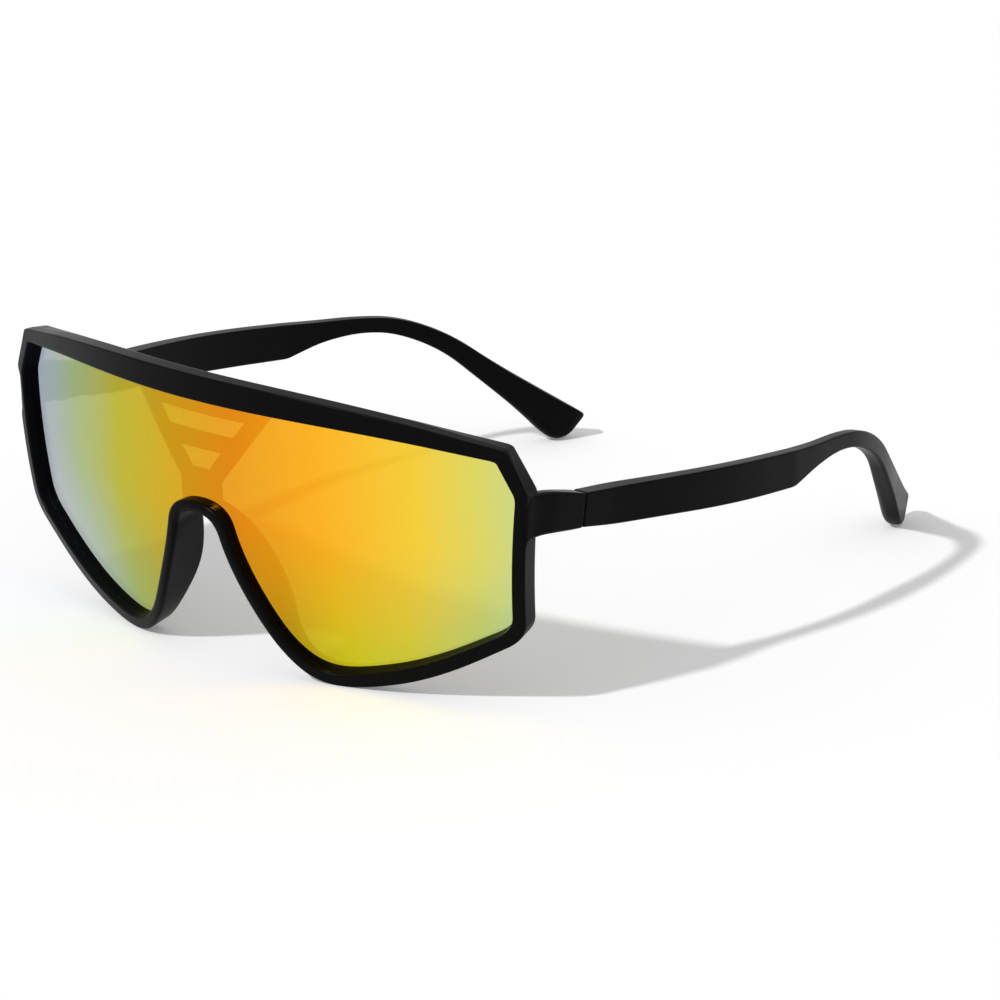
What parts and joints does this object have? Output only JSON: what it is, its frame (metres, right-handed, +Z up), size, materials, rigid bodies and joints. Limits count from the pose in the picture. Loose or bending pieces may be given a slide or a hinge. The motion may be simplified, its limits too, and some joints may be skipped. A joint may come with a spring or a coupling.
{
  "type": "shield sunglasses",
  "caption": "Wraparound shield sunglasses: one curved mirrored lens in a moulded frame with nose pads, a brace behind the lens and two hinged temples that fold in.",
  "frame": {"origin": "middle of the bottom of the box that the open glasses fill, on the surface they stand on", "axes": "+Z up, the lens looks along -Y, the temples run back along +Y, +X is the wearer's left"},
  "size_m": [0.1526, 0.1798, 0.0646],
  "materials": {
    "frame_plastic": "black injection moulded nylon, soft sheen",
    "temple_plastic": "black injection moulded nylon, soft sheen",
    "mirrored_lens": "polycarbonate with an orange to yellow-green mirror coat, seen through a little",
    "hinge_metal": "black plated nickel silver",
    "screw_steel": "plain steel"
  },
  "bodies": {
    "front": {"front_frame": "frame_plastic", "shield_lens": "mirrored_lens", "hinge_front_leaf_left": "hinge_metal", "hinge_front_leaf_right": "hinge_metal", "hinge_screw_left": "screw_steel", "hinge_screw_right": "screw_steel"},
    "left_arm": {"temple_left": "temple_plastic", "hinge_temple_leaf_left": "hinge_metal"},
    "right_arm": {"temple_right": "temple_plastic", "hinge_temple_leaf_right": "hinge_metal"}
  },
  "joints": [
    {"name": "temple_left_fold", "type": "hinge", "parent": "front", "child": "left_arm", "pos_m": [0.068, -0.0509, 0.04007], "axis": [0, 0, 1], "range_deg": [0, 86]},
    {"name": "temple_right_fold", "type": "hinge", "parent": "front", "child": "right_arm", "pos_m": [-0.068, -0.0509, 0.04007], "axis": [0, 0, -1], "range_deg": [0, 80]}
  ]
}
